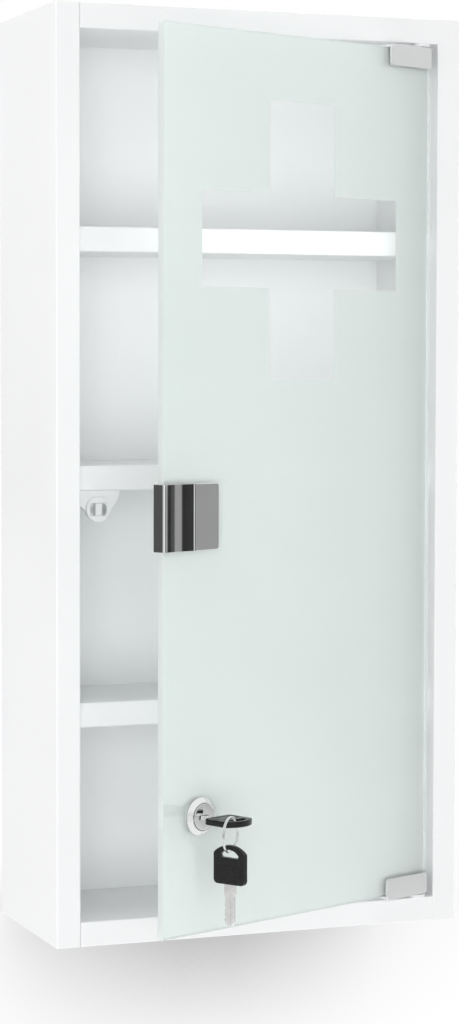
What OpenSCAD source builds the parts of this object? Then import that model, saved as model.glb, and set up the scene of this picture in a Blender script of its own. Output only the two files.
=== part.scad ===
// Lockable medicine cabinet: a white board carcass that hangs on a wall, three fixed shelves,
// and an inset frosted glass door on corner clips, with a clip handle, a cam lock and two keys.
// Millimetres, +Z up, +X to the viewer's right. The wall is y = 0 and the front faces -Y.
// The origin is midway between the two hanging keyholes, on the wall plane.

/* [Carcass] */
// Outer width
cab_w = 280; // [260:5:360]
// Outer height
cab_h = 600; // [580:5:720]
// Outer depth, from the wall to the front edges
cab_d = 125; // [118:1:170]
// Thickness of the top, bottom and side boards
board_t = 16; // [15:1:19]
// Thickness of the back panel
back_t = 3; // [2.5:0.5:5]
// Hollow left between the wall and the back panel
back_recess = 20; // [17:1:26]
// Depth of the grooves that hold the back panel
groove_depth = 6; // [4:1:8]
// Rounding of the boards' front edges
edge_r = 1; // [0.5:0.25:2]

/* [Shelves] */
// Thickness of each shelf
shelf_t = 16; // [14:1:19]
// Rise from one shelf to the next
shelf_pitch = 152.5; // [140:0.5:165]
// Distance from the cabinet's front plane to the shelves' front edges
shelf_setback = 13; // [13:1:20]

/* [Dowels] */
// Diameter of the dowels
dowel_d = 8; // [6:1:10]
// Length of each dowel
dowel_l = 30; // [25:1:35]
// Part of each dowel that sits in the side panel
dowel_in_side = 11; // [9:0.5:12]
// Distance from the front plane to the front row of dowels
dowel_front = 38; // [37:1:46]
// Distance from the back panel to the rear row of dowels
dowel_rear = 20; // [12:1:30]

/* [Wall hangers] */
// Distance from the cabinet's top down to the keyholes' centres
hang_drop = 60; // [45:5:100]
// Length of each hanger plate
hanger_l = 56; // [50:1:64]
// Width of each hanger plate
hanger_w = 13; // [12:0.5:14]
// Thickness of each hanger plate
hanger_t = 2; // [1.5:0.25:3]
// Diameter of the keyhole's round entry, which passes the screw head
keyhole_d = 8.5; // [7:0.5:9]
// Width of the keyhole's slot, which holds the screw's shank
keyhole_slot_w = 4.5; // [4:0.25:5]
// Rise of the slot above the entry's centre
keyhole_rise = 9; // [7:0.5:11]
// Hollow behind the plate for the screw's head
hanger_pocket = 8; // [6:0.5:12]
// Distance between a hanger's two fixing screws
hanger_screw_pitch = 42; // [38:1:46]

/* [Wood screws] */
// Shank diameter of the small countersunk wood screws
screw_d = 3; // [2.5:0.25:3.5]
// Head diameter of the wood screws
screw_head_d = 5.6; // [5:0.2:6]
// Height of the countersunk head
screw_head_h = 1.5; // [1.2:0.1:1.5]
// Length of the wood screws
screw_l = 14; // [10:1:15]

/* [Door] */
// Opening angle of the door in the stored pose
door_open = 23.5; // [0:0.5:90]
// Thickness of the glass
glass_t = 5; // [4:0.5:5.5]
// Distance from the cabinet's front plane to the closed glass
glass_setback = 2; // [1:0.5:2]
// Gap between the glass and the side panels
door_gap = 3; // [2.5:0.5:4]
// Distance from the right side panel to the hinge axis
pivot_inset = 10.5; // [10:0.5:11]
// Thickness of the frosted layer on the back of the glass
frost_t = 0.2; // [0.15:0.05:0.3]
// Overall size of the clear cross in the frosting
cross_size = 176; // [150:1:190]
// Width of the cross's arms
cross_arm = 59; // [50:1:64]
// Drop from the cabinet's top to the cross's centre
cross_drop = 149.5; // [130:0.5:170]
// Shift of the cross from the glass's middle towards the hinge
cross_shift = 2; // [-5:0.5:5]

/* [Hinges] */
// Length of each corner clip along the glass
clip_l = 39; // [36:1:44]
// Height of each clip
clip_h = 14; // [13:0.5:18]
// Length of the clip beyond the hinge axis
clip_tail = 5.5; // [5:0.25:7]
// Thickness of the clip's front plate
clip_front_t = 2; // [1.5:0.25:2.5]
// Thickness of the clip's threaded rear plate
clip_rear_t = 3; // [2.5:0.25:3.5]
// Thickness of the clip's web over the glass edge
clip_web_t = 2.2; // [2:0.1:3]
// Corner radius of the clip's plates
clip_r = 2.5; // [1.5:0.5:3]
// Thickness of the rubber pads between metal and glass
pad_t = 0.5; // [0.4:0.1:0.8]
// Diameter of the pivot pins
pin_d = 5; // [4:0.5:5]
// Length of each pin inside its bush
pin_reach = 9; // [7:0.5:10]
// Outer diameter of the bushes
bush_d = 8; // [7:0.5:10]
// Diameter of the bushes' flanges
bush_flange_d = 12; // [11:0.5:14]
// Thickness of the bushes' flanges, which carry the door
bush_flange_t = 2; // [1.5:0.25:3]
// Diameter of the clips' clamp screws
clamp_screw_d = 4; // [3:0.5:4]

/* [Handle] */
// Height of the handle's middle above the cabinet's base
handle_height = 279.5; // [270:0.5:284]
// Height of the handle itself
handle_h = 41.5; // [38:0.5:46]
// Width of the scooped finger grip
grip_w = 28; // [24:0.5:32]
// Width of the flat plate beside the grip
flat_w = 19.5; // [18:0.5:30]
// How far the grip stands out from the glass pads
grip_depth = 2.25; // [2.25:0.25:4]
// Depth of the scoop
scoop_depth = 1.6; // [1:0.1:1.7]
// Width of the flat lip on each side of the scoop
lip_w = 2.4; // [1.5:0.1:3.5]
// Thickness of the flat plate
flat_t = 1.3; // [1:0.1:1.8]
// Thickness of the wall that goes round the glass edge
hook_t = 1.8; // [1.4:0.1:2]
// Gap between that wall and the glass edge
hook_gap = 0.3; // [0.2:0.1:0.5]
// Width of the rear plate behind the glass
hook_w = 22; // [20:0.5:26]
// Thickness of the rear plate
hook_rear_t = 1.5; // [1.5:0.25:2]
// Diameter of the handle's set screws
set_screw_d = 3; // [2.5:0.25:3.5]

/* [Magnetic catch] */
// Distance from the left side panel to the catch's centre
catch_inset = 15.5; // [15.5:0.5:18]
// Drop from the shelf's underside to the magnet's centre
catch_drop = 12; // [10:0.5:13]
// Radius of the half-round backing plate
catch_r = 15; // [13:0.5:15]
// Thickness of the backing plate
catch_plate_t = 3; // [2.5:0.25:4]
// Depth of the flange that is screwed under the shelf
catch_flange_l = 27; // [22:1:32]
// Thickness of that flange
catch_flange_t = 2.5; // [2:0.25:3]
// Diameter of the round boss
boss_d = 16; // [13.5:0.5:17]
// How far the boss stands out from the plate
boss_out = 3; // [2.5:0.5:5]
// Width of each pole plate
pole_w = 3.4; // [2.5:0.1:3.4]
// Height of the pole plates and the magnet
pole_h = 8; // [7:0.25:8]
// Width of the magnet between the poles
magnet_w = 4.4; // [4:0.1:4.6]
// How far the poles stand out of the boss
pole_out = 0.4; // [0.2:0.1:1]
// Gap between the poles and the closed handle
catch_gap = 0.5; // [0.3:0.1:1]

/* [Lock] */
// Distance from the glass's free edge to the lock's axis
lock_inset = 31; // [30:0.5:32.5]
// Height of the lock's axis above the cabinet's base
lock_height = 94; // [88:1:104]
// Diameter of the hole in the glass
glass_hole_d = 19; // [18.5:0.25:20]
// Diameter of the lock's threaded barrel
barrel_d = 18; // [17:0.25:18]
// Diameter of the bevelled flange at the glass
flange_d = 24; // [23:0.5:28]
// Diameter of the flange's front
flange_front_d = 18.6; // [18:0.2:20]
// Thickness of the flange
flange_t = 3.2; // [2.5:0.1:4.5]
// Thickness of each rubber gasket
gasket_t = 0.6; // [0.4:0.1:1]
// Length of the barrel behind the glass's middle
barrel_rear = 12.5; // [11:0.5:16]
// Thickness of the lock's nut
nut_t = 3; // [2.5:0.5:4]
// Width of the nut across its flats
nut_af = 22; // [21:0.5:24]
// Diameter of the plug's turning face
plug_head_d = 16.4; // [15:0.2:16.6]
// Thickness of the plug's head
plug_head_t = 2; // [1.5:0.1:2.5]
// How far the plug's face stands out of the flange
plug_proud = 0.2; // [0.1:0.1:0.6]
// Diameter of the plug's body
plug_d = 12; // [11:0.25:12.5]
// Width of the square that drives the cam
cam_square = 6; // [5:0.25:6.5]
// Width of the cam
cam_w = 12; // [10:0.5:14]
// Length of the cam from the lock's axis to its tip
cam_reach = 41; // [40:0.5:41.5]
// Thickness of the cam
cam_t = 2; // [1.5:0.25:3]
// Shank diameter of the cam's screw
cam_screw_d = 3; // [2.5:0.25:3.5]
// Head diameter of the cam's screw
cam_screw_head_d = 9; // [8:0.5:10]
// Head height of the cam's screw
cam_screw_head_h = 2.2; // [1.8:0.1:3]

/* [Strike] */
// Width of the slot that takes the cam
strike_slot_w = 5; // [4.5:0.25:6]
// Depth of the slot into the side panel
strike_slot_depth = 9; // [8.5:0.5:10]
// Height of the strike plate
strike_l = 60; // [58:1:66]
// Width of the strike plate
strike_w = 14; // [12:0.5:16]
// Thickness of the strike plate
strike_t = 1.5; // [1.2:0.1:2]

/* [Keys] */
// Width of the key's blade
blade_w = 8; // [6:0.25:8.5]
// Thickness of the blade
blade_t = 2; // [1.6:0.1:2.2]
// Length of the blade from head to tip
blade_l = 25.5; // [24:0.1:27]
// Length of blade left outside the inserted plug
blade_exposed = 11.1; // [10:0.1:13]
// Width of the plastic head
head_w = 23; // [22:0.5:26]
// Length of the head
head_l = 24; // [23:0.1:26]
// Rise of the head's domed end
head_dome = 5; // [4:0.25:6]
// Thickness of the head
head_t = 3.8; // [3.2:0.1:4]
// Width of the eye, the hole for the ring
eye_w = 14; // [13:0.5:15]
// Height of the eye under its arch
eye_h = 5; // [4.5:0.25:5.5]
// Width of plastic left between the eye and the head's end
eye_rim = 2.7; // [2.5:0.1:3]
// Mean diameter of the key ring
ring_mean_d = 21.2; // [20.8:0.1:22]
// Thickness of the ring's wire
ring_wire_d = 1.6; // [1.2:0.1:1.6]
// Drop of the ring's centre below the middle of the key's head
ring_hang = 5.7; // [5.2:0.1:5.8]
// Distance from the eye's middle to the place where the ring passes through
ring_cross = 1.2; // [0:0.2:1.6]
// Turn of the hanging ring about the vertical, against the door
ring_yaw = 22; // [15:1:25]
// Turn of the hanging spare key about the vertical, from square to the door
spare_turn = 10; // [0:1:20]

/* [Hidden] */
$fn = 48;

// Clearances. Seats are fixed joints, running fits turn.
seat_gap = 0.05;
run_gap = 0.05;
groove_play = 0.1;
pivot_play = 0.3;
ring_seat = 0.7;
keyway_gap = 0.1;
// Overlap of a cutting body past the face that it cuts
cut = 1;

// Carcass
top_z = hang_drop;
base_z = top_z - cab_h;
floor_z = base_z + board_t;
ceiling_z = top_z - board_t;
inner_x = cab_w / 2 - board_t;
front_y = -cab_d;
back_front_y = -(back_recess + back_t);
groove_half = inner_x + groove_depth;

// Shelves
shelf_front_y = front_y + shelf_setback;
shelf_middle_z = base_z + cab_h / 2;
catch_shelf_under = shelf_middle_z - shelf_t / 2;

// Dowels
dowel_rows = [front_y + dowel_front, back_front_y - dowel_rear];
dowel_levels = [
    base_z + board_t / 2, shelf_middle_z - shelf_pitch, shelf_middle_z,
    shelf_middle_z + shelf_pitch, top_z - board_t / 2
];
dowel_start = inner_x + dowel_in_side - dowel_l;

// Wall hangers
hanger_x = cab_w / 2 - board_t / 2;
hanger_screw_zs = [-hanger_screw_pitch / 2, hanger_screw_pitch / 2];

// Door: its own frame has the hinge axis at the origin and the closed glass along -X.
edge_gap = bush_flange_t + pivot_play + clip_web_t;
pivot_x = inner_x - pivot_inset;
pivot_y = front_y + glass_setback + glass_t / 2;
glass_reach = 2 * inner_x - pivot_inset - door_gap;
glass_tail = pivot_inset - door_gap;
glass_z = floor_z + edge_gap;
glass_h = ceiling_z - floor_z - 2 * edge_gap;
glass_half = glass_t / 2;
glass_rear = glass_half + frost_t;
cross_x = (glass_tail - glass_reach) / 2 + cross_shift;
cross_z = top_z - cross_drop;

// Handle, measured along x from the glass's free edge
hook_out = hook_gap + hook_t;
handle_w = grip_w + flat_w;
handle_front = -(glass_half + pad_t + grip_depth);
handle_rear = glass_rear + pad_t + hook_rear_t;
handle_mid_z = base_z + handle_height;
handle_z = handle_mid_z - handle_h / 2;
scoop_chord = grip_w - 2 * lip_w;
scoop_r = (scoop_chord * scoop_chord / 4 + scoop_depth * scoop_depth) / (2 * scoop_depth);
handle_pad_margin = 1.5;
handle_corner_r = 2;
set_screw_x = hook_w / 2;
set_screw_drop = handle_h / 4;

// Magnetic catch
catch_x = -inner_x + catch_inset;
pole_front_y = pivot_y + handle_rear + catch_gap;
boss_front_y = pole_front_y + pole_out;
catch_plate_y = boss_front_y + boss_out;
magnet_z = catch_shelf_under - catch_drop;
pole_l = boss_out + catch_plate_t - 0.8;
pocket_w = 2 * pole_w + magnet_w + 0.2;
catch_screw_x = 8;
catch_screw_y = catch_plate_y + 0.6 * catch_flange_l;

// Lock: its own frame has z along the axis, outwards from the glass's middle, and y up.
lock_x = -glass_reach + lock_inset;
lock_z = base_z + lock_height;
flange_base = glass_half + gasket_t;
flange_front = flange_base + flange_t;
plug_face = flange_front + plug_proud;
plug_seat = plug_face - plug_head_t;
plug_rear = -barrel_rear - run_gap;
cam_front = -barrel_rear - 0.2;
cam_rear = cam_front - cam_t;
keyway_depth = blade_l - blade_exposed + 0.5;
cam_screw_l = 4;
barrel_bore_d = plug_d + 2 * run_gap;

// Strike: the slot lets the cam swing in from below.
cam_depth_y = pivot_y - (cam_front + cam_rear) / 2;
cam_to_panel = inner_x + pivot_x + lock_x;
cam_entry_drop = sqrt(cam_reach * cam_reach - cam_to_panel * cam_to_panel) + cam_w / 2;
strike_slot_low = lock_z - cam_entry_drop - 2;
strike_slot_high = lock_z + cam_w / 2 + 2;
strike_mid_z = (strike_slot_low + strike_slot_high) / 2;
strike_screw_zs = [strike_mid_z - strike_l / 2 + 5, strike_mid_z + strike_l / 2 - 5];

// Keys: a key's own frame has its shoulder at the origin, the head along +Z and the blade along -Z.
tang_l = 9;
tang_w = blade_w - 1;
tang_t = blade_t - 0.6;
head_corner_r = 3;
dome_r = (head_w * head_w / 4 + head_dome * head_dome) / (2 * head_dome);
eye_end_r = 1.6;
arch_rise = eye_h - eye_end_r;
arch_r = (eye_w * eye_w / 4 + arch_rise * arch_rise) / (2 * arch_rise);
eye_top = head_l - eye_rim;
eye_base = eye_top - eye_h;
panel_recess = 0.3;
panel_w = head_w - 5;
panel_l = 10;
panel_base = 2.5;
key_shoulder = plug_face + blade_exposed;

// Key ring: it passes through the eye and round the head's side.
ring_r = ring_mean_d / 2;
ring_chord = sqrt(ring_r * ring_r - ring_hang * ring_hang);
ring_x = -ring_cross - ring_chord * cos(ring_yaw);
ring_out = key_shoulder + eye_base + 0.4 * eye_h + ring_chord * sin(ring_yaw);
spare_shoulder = -ring_r + ring_wire_d / 2 + ring_seat - eye_top;

white = "#f2f3f4";
steel = "#c4c7ca";
chrome = "#d5d8db";
rubber = "#3a3c3e";
nylon = "#e9eaeb";
wood = "#d9b98a";
black = "#1e1f21";

// ---------- helpers ----------

// Board section with its front corners rounded: x runs from front to rear, y through the board.
module edge_section(front, rear, thickness) {
    translate([front + edge_r, 0])
        square([rear - front - edge_r, thickness]);
    translate([front, edge_r])
        square([rear - front, thickness - 2 * edge_r]);
    for (corner = [edge_r, thickness - edge_r])
        translate([front + edge_r, corner])
            circle(edge_r);
}

// Rectangle about the origin with round corners
module rounded_rect(w, h, r) {
    square([w - 2 * r, h], center = true);
    square([w, h - 2 * r], center = true);
    for (x = [-1, 1], y = [-1, 1])
        translate([x * (w / 2 - r), y * (h / 2 - r)])
            circle(r);
}

// Slot about the origin with round ends, the long way along y
module slot_2d(w, h) {
    square([w, h - w], center = true);
    for (y = [-1, 1])
        translate([0, y * (h - w) / 2])
            circle(d = w);
}

// Horizontal board between the side panels, with its underside at height z
module flat_board(front, rear, z, thickness) {
    translate([-inner_x, 0, z])
        rotate([90, 0, 90])
            linear_extrude(2 * inner_x)
                edge_section(front, rear, thickness);
}

// Cylinder along +X that starts at x
module rod_x(x, y, z, length, d) {
    translate([x, y, z])
        rotate([0, 90, 0])
            cylinder(h = length, d = d);
}

// Countersunk screw: head face at the origin, pointing along -Z
module wood_screw(gap = 0) {
    translate([0, 0, -screw_l])
        cylinder(h = screw_l, d = screw_d + 2 * gap);
    translate([0, 0, -screw_head_h])
        cylinder(h = screw_head_h, d1 = screw_d + 2 * gap, d2 = screw_head_d + 2 * gap);
}

// Both dowel holes of a horizontal board's ends at level z
module board_dowel_holes(z) {
    hole_l = dowel_l - dowel_in_side + 0.5;
    for (y = dowel_rows, side = [-1, 1])
        rod_x(side > 0 ? inner_x - hole_l : -inner_x - cut, y, z, hole_l + cut, dowel_d + 2 * seat_gap);
}

// Frame at a board surface beside the door: z = 0 on the board, the door at z > 0
module at_floor() {
    translate([0, 0, floor_z])
        children();
}

module at_ceiling() {
    translate([0, 0, ceiling_z])
        mirror([0, 0, 1])
            children();
}

// Frame of the door, turned to its stored angle
module on_door() {
    translate([pivot_x, pivot_y, 0])
        rotate([0, 0, door_open])
            children();
}

// Frame of the lock's axis
module on_lock() {
    on_door()
        translate([lock_x, 0, lock_z])
            rotate([90, 0, 0])
                children();
}

// Frame of the key ring's centre, with the ring in its x-y plane
module on_ring() {
    on_lock()
        translate([ring_x, -ring_hang, ring_out])
            rotate([0, ring_yaw, 0])
                children();
}

// Frame of the spare key, hung from the ring's lowest point
module on_spare_key() {
    on_ring()
        translate([0, spare_shoulder, 0])
            rotate([-90, spare_turn - ring_yaw - 90, 0])
                children();
}

// ---------- carcass ----------

module back_panel_groove() {
    translate([-groove_half, back_front_y - groove_play, floor_z - groove_depth])
        cube([2 * groove_half, back_t + 2 * groove_play, ceiling_z - floor_z + 2 * groove_depth]);
}

module side_panel() {
    difference() {
        translate([-inner_x, 0, base_z])
            linear_extrude(cab_h)
                rotate(90)
                    edge_section(front_y, 0, board_t);
        back_panel_groove();
        for (y = dowel_rows, z = dowel_levels)
            rod_x(-inner_x - dowel_in_side - 0.5, y, z, dowel_in_side + cut, dowel_d + 2 * seat_gap);
        hanger_pocket_cut();
    }
}

// Rebate for the hanger plate, room for the wall screw's head, and the plate's screw holes
module hanger_pocket_cut() {
    translate([-hanger_x, 0, 0])
        rotate([-90, 0, 0]) {
            translate([0, 0, -hanger_t])
                linear_extrude(hanger_t + cut)
                    slot_2d(hanger_w + 2 * seat_gap, hanger_l + 2 * seat_gap);
            translate([0, -keyhole_rise / 2, -hanger_t - hanger_pocket])
                linear_extrude(hanger_pocket + cut)
                    slot_2d(keyhole_d + 1, keyhole_d + 1 + keyhole_rise);
            for (z = hanger_screw_zs)
                translate([0, z, 0])
                    wood_screw(seat_gap);
        }
}

module side_panel_left() {
    color(white)
        difference() {
            side_panel();
            strike_plate_blank(seat_gap);
            strike_slot(strike_slot_depth);
            for (z = strike_screw_zs)
                strike_screw_at(z, seat_gap);
        }
}

module side_panel_right() {
    color(white)
        mirror([1, 0, 0])
            side_panel();
}

module top_panel() {
    color(white)
        difference() {
            flat_board(front_y, 0, ceiling_z, board_t);
            back_panel_groove();
            board_dowel_holes(top_z - board_t / 2);
            at_ceiling() bush_hole();
        }
}

module bottom_panel() {
    color(white)
        difference() {
            flat_board(front_y, 0, base_z, board_t);
            back_panel_groove();
            board_dowel_holes(base_z + board_t / 2);
            at_floor() bush_hole();
        }
}

module back_panel() {
    play = 0.2;
    color(white)
        translate([-groove_half + play, back_front_y, floor_z - groove_depth + play])
            cube([2 * (groove_half - play), back_t, ceiling_z - floor_z + 2 * (groove_depth - play)]);
}

module shelf(middle) {
    difference() {
        flat_board(shelf_front_y, back_front_y, middle - shelf_t / 2, shelf_t);
        board_dowel_holes(middle);
    }
}

module shelf_upper() {
    color(white) shelf(shelf_middle_z + shelf_pitch);
}

module shelf_middle() {
    color(white)
        difference() {
            shelf(shelf_middle_z);
            catch_screw_places() wood_screw(seat_gap);
        }
}

module shelf_lower() {
    color(white) shelf(shelf_middle_z - shelf_pitch);
}

module dowels_left() {
    color(wood)
        for (y = dowel_rows, z = dowel_levels)
            rod_x(-inner_x - dowel_in_side, y, z, dowel_l, dowel_d);
}

module dowels_right() {
    color(wood)
        for (y = dowel_rows, z = dowel_levels)
            rod_x(dowel_start, y, z, dowel_l, dowel_d);
}

// ---------- wall hangers ----------

module hanger_plate(x) {
    color(steel)
        translate([x, 0, 0])
            rotate([-90, 0, 0])
                difference() {
                    translate([0, 0, -hanger_t])
                        linear_extrude(hanger_t)
                            difference() {
                                slot_2d(hanger_w, hanger_l);
                                circle(d = keyhole_d);
                                translate([0, -keyhole_rise / 2])
                                    slot_2d(keyhole_slot_w, keyhole_slot_w + keyhole_rise);
                            }
                    for (z = hanger_screw_zs)
                        translate([0, z, 0])
                            wood_screw(seat_gap);
                }
}

module hanger_plate_left() {
    hanger_plate(-hanger_x);
}

module hanger_plate_right() {
    hanger_plate(hanger_x);
}

module hanger_screws() {
    color(steel)
        for (x = [-hanger_x, hanger_x], z = hanger_screw_zs)
            translate([x, 0, z])
                rotate([-90, 0, 0])
                    wood_screw();
}

// ---------- strike for the lock's cam ----------

module strike_plate_blank(gap = 0) {
    translate([-inner_x - strike_t, cam_depth_y, strike_mid_z])
        rotate([90, 0, 90])
            linear_extrude(strike_t + (gap > 0 ? cut : 0))
                slot_2d(strike_w + 2 * gap, strike_l + 2 * gap);
}

module strike_slot(depth) {
    translate([-inner_x - depth, cam_depth_y, strike_mid_z])
        rotate([90, 0, 90])
            linear_extrude(depth + cut)
                slot_2d(strike_slot_w, strike_slot_high - strike_slot_low);
}

module strike_screw_at(z, gap = 0) {
    translate([-inner_x, cam_depth_y, z])
        rotate([0, 90, 0])
            wood_screw(gap);
}

module strike_plate() {
    color(steel)
        difference() {
            strike_plate_blank();
            strike_slot(strike_slot_depth);
            for (z = strike_screw_zs)
                strike_screw_at(z, seat_gap);
        }
}

module strike_screws() {
    color(steel)
        for (z = strike_screw_zs)
            strike_screw_at(z);
}

// ---------- magnetic catch ----------

// Frame of the catch: z out of the magnet's face towards the door, y up
module on_catch(y) {
    translate([catch_x, y, magnet_z])
        rotate([90, 0, 0])
            children();
}

module catch_screw_places() {
    for (side = [-1, 1])
        translate([catch_x + side * catch_screw_x, catch_screw_y, catch_shelf_under - catch_flange_t])
            rotate([180, 0, 0])
                children();
}

module catch_housing() {
    color(white)
        difference() {
            union() {
                intersection() {
                    translate([0, catch_plate_t, 0])
                        on_catch(catch_plate_y)
                            translate([0, catch_drop, 0])
                                cylinder(h = catch_plate_t, r = catch_r);
                    translate([catch_x - catch_r, catch_plate_y - cut, catch_shelf_under - 2 * catch_r])
                        cube([2 * catch_r, catch_plate_t + 2 * cut, 2 * catch_r]);
                }
                on_catch(catch_plate_y + catch_plate_t)
                    cylinder(h = catch_plate_t + boss_out, d = boss_d);
                translate([catch_x - catch_r + 2, catch_plate_y, catch_shelf_under - catch_flange_t])
                    cube([2 * catch_r - 4, catch_flange_l, catch_flange_t]);
            }
            on_catch(boss_front_y + pole_l)
                translate([-pocket_w / 2, -pole_h / 2 - 0.1, 0])
                    cube([pocket_w, pole_h + 0.2, pole_l + cut]);
            catch_screw_places() wood_screw(seat_gap);
        }
}

module catch_magnet() {
    color(rubber)
        on_catch(boss_front_y + pole_l)
            translate([-magnet_w / 2, -pole_h / 2, 0])
                cube([magnet_w, pole_h, pole_l - 0.2]);
}

module catch_pole(side) {
    color(steel)
        on_catch(boss_front_y + pole_l)
            translate([side * (magnet_w + pole_w) / 2 - pole_w / 2, -pole_h / 2, 0])
                cube([pole_w, pole_h, pole_l + pole_out]);
}

module catch_pole_left() {
    catch_pole(-1);
}

module catch_pole_right() {
    catch_pole(1);
}

module catch_screws() {
    color(steel)
        catch_screw_places() wood_screw();
}

// ---------- hinges ----------

module on_pivot() {
    translate([pivot_x, pivot_y, 0])
        children();
}

module bush_hole() {
    depth = pin_reach - bush_flange_t + 1.5;
    on_pivot()
        translate([0, 0, -depth])
            cylinder(h = depth + cut, d = bush_d + 2 * seat_gap);
}

module hinge_bush() {
    depth = pin_reach - bush_flange_t + 1.4;
    bore = pin_reach + 0.4;
    color(nylon)
        on_pivot()
            difference() {
                union() {
                    translate([0, 0, -depth])
                        cylinder(h = depth, d = bush_d);
                    cylinder(h = bush_flange_t, d = bush_flange_d);
                }
                translate([0, 0, bush_flange_t - bore])
                    cylinder(h = bore + cut, d = pin_d + 2 * run_gap);
            }
}

module hinge_bush_top() {
    at_ceiling() hinge_bush();
}

module hinge_bush_bottom() {
    at_floor() hinge_bush();
}

// Places of a clip's two clamp screws, on the clip's rear plate
module clamp_screw_places() {
    for (x = [-clip_l + clip_tail + 9, -9])
        translate([x, glass_rear + pad_t, (edge_gap + bush_flange_t + pivot_play + clip_h) / 2])
            rotate([-90, 0, 0])
                children();
}

module hinge_clip() {
    bottom = bush_flange_t + pivot_play;
    front = -(glass_half + pad_t + clip_front_t);
    depth = glass_half + pad_t + clip_front_t + glass_rear + pad_t + clip_rear_t;
    room = glass_half + glass_rear + 2 * pad_t;
    color(chrome)
        on_door()
            difference() {
                translate([clip_tail - clip_l / 2, front + depth, bottom + clip_h / 2])
                    rotate([90, 0, 0])
                        linear_extrude(depth)
                            rounded_rect(clip_l, clip_h, clip_r);
                translate([clip_tail - clip_l - cut, front + clip_front_t, edge_gap - seat_gap])
                    cube([clip_l + 2 * cut, room, clip_h]);
                translate([0, 0, bottom - cut])
                    cylinder(h = clip_web_t + 2 * cut, d = pin_d + 2 * seat_gap);
                clamp_screw_places()
                    translate([0, 0, -cut])
                        cylinder(h = clip_rear_t + 2 * cut, d = clamp_screw_d + 2 * seat_gap);
            }
}

module hinge_clip_top() {
    at_ceiling() hinge_clip();
}

module hinge_clip_bottom() {
    at_floor() hinge_clip();
}

module clip_pads() {
    margin = 1;
    pad_h = bush_flange_t + pivot_play + clip_h - edge_gap - 2 * margin;
    color(rubber)
        on_door()
            for (y = [-(glass_half + pad_t), glass_rear])
                translate([clip_tail - clip_l + margin, y, edge_gap + margin])
                    cube([clip_l - 2 * margin, pad_t, pad_h]);
}

module clip_pads_top() {
    at_ceiling() clip_pads();
}

module clip_pads_bottom() {
    at_floor() clip_pads();
}

// Headless screws with a hexagon socket, flush with the clip's rear plate
module clip_screws() {
    socket_af = clamp_screw_d / 2;
    color(steel)
        on_door()
            clamp_screw_places()
                difference() {
                    cylinder(h = clip_rear_t, d = clamp_screw_d);
                    translate([0, 0, clip_rear_t / 2])
                        cylinder(h = clip_rear_t, d = socket_af / cos(30), $fn = 6);
                }
}

module clip_screws_top() {
    at_ceiling() clip_screws();
}

module clip_screws_bottom() {
    at_floor() clip_screws();
}

module pivot_pin() {
    tip = bush_flange_t - pin_reach;
    color(steel)
        on_pivot()
            translate([0, 0, tip])
                cylinder(h = edge_gap - 0.2 - tip, d = pin_d);
}

module pivot_pin_top() {
    at_ceiling() pivot_pin();
}

module pivot_pin_bottom() {
    at_floor() pivot_pin();
}

// ---------- door glass ----------

module lock_hole() {
    translate([lock_x, 0, lock_z])
        rotate([90, 0, 0])
            cylinder(h = 4 * glass_t, d = glass_hole_d, center = true);
}

module door_glass() {
    color("#cfe0da", 0.6)
        on_door()
            difference() {
                translate([-glass_reach, -glass_half, glass_z])
                    cube([glass_reach + glass_tail, glass_t, glass_h]);
                lock_hole();
            }
}

module frosting() {
    color("#dbe7e3", 0.8)
        on_door()
            difference() {
                translate([-glass_reach, glass_half, glass_z])
                    cube([glass_reach + glass_tail, frost_t, glass_h]);
                lock_hole();
                for (size = [[cross_size, cross_arm], [cross_arm, cross_size]])
                    translate([cross_x, glass_half, cross_z])
                        cube([size[0], 4 * frost_t, size[1]], center = true);
            }
}

// ---------- handle ----------

// Handle section: x from the glass's free edge towards the hinge, y from front to rear
module handle_section() {
    difference() {
        union() {
            translate([-hook_out, handle_front])
                square([grip_w, grip_depth]);
            translate([-hook_out, -(glass_half + pad_t + flat_t)])
                square([handle_w, flat_t]);
            translate([-hook_out, handle_front])
                square([hook_t, handle_rear - handle_front]);
            translate([-hook_out, handle_rear - hook_rear_t])
                square([hook_w, hook_rear_t]);
        }
        translate([grip_w / 2 - hook_out, handle_front + scoop_depth - scoop_r])
            circle(scoop_r, $fn = 96);
    }
}

module set_screw_places() {
    for (z = [handle_mid_z - set_screw_drop, handle_mid_z + set_screw_drop])
        translate([set_screw_x - glass_reach, glass_rear + pad_t, z])
            rotate([-90, 0, 0])
                children();
}

module handle_clip() {
    color(chrome)
        on_door()
            difference() {
                intersection() {
                    translate([-glass_reach, 0, handle_z])
                        linear_extrude(handle_h)
                            handle_section();
                    translate([-glass_reach - hook_out, handle_rear + cut, handle_mid_z])
                        rotate([90, 0, 0])
                            linear_extrude(handle_rear - handle_front + 2 * cut)
                                rounded_rect(2 * handle_w, handle_h, handle_corner_r);
                }
                set_screw_places()
                    translate([0, 0, -cut])
                        cylinder(h = hook_rear_t + 2 * cut, d = set_screw_d + 2 * seat_gap);
            }
}

module handle_pads() {
    height = handle_h - 2 * handle_pad_margin;
    front_w = handle_w - hook_out - 2 * handle_pad_margin;
    rear_w = hook_w - hook_out - 2 * handle_pad_margin;
    color(rubber)
        on_door()
            translate([handle_pad_margin - glass_reach, 0, handle_z + handle_pad_margin]) {
                translate([0, -(glass_half + pad_t), 0])
                    cube([front_w, pad_t, height]);
                translate([0, glass_rear, 0])
                    cube([rear_w, pad_t, height]);
            }
}

module handle_screws() {
    color(steel)
        on_door()
            set_screw_places()
                difference() {
                    cylinder(h = hook_rear_t, d = set_screw_d);
                    translate([0, 0, hook_rear_t / 2])
                        cylinder(h = hook_rear_t, d = set_screw_d / 2 / cos(30), $fn = 6);
                }
}

// ---------- lock ----------

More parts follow.
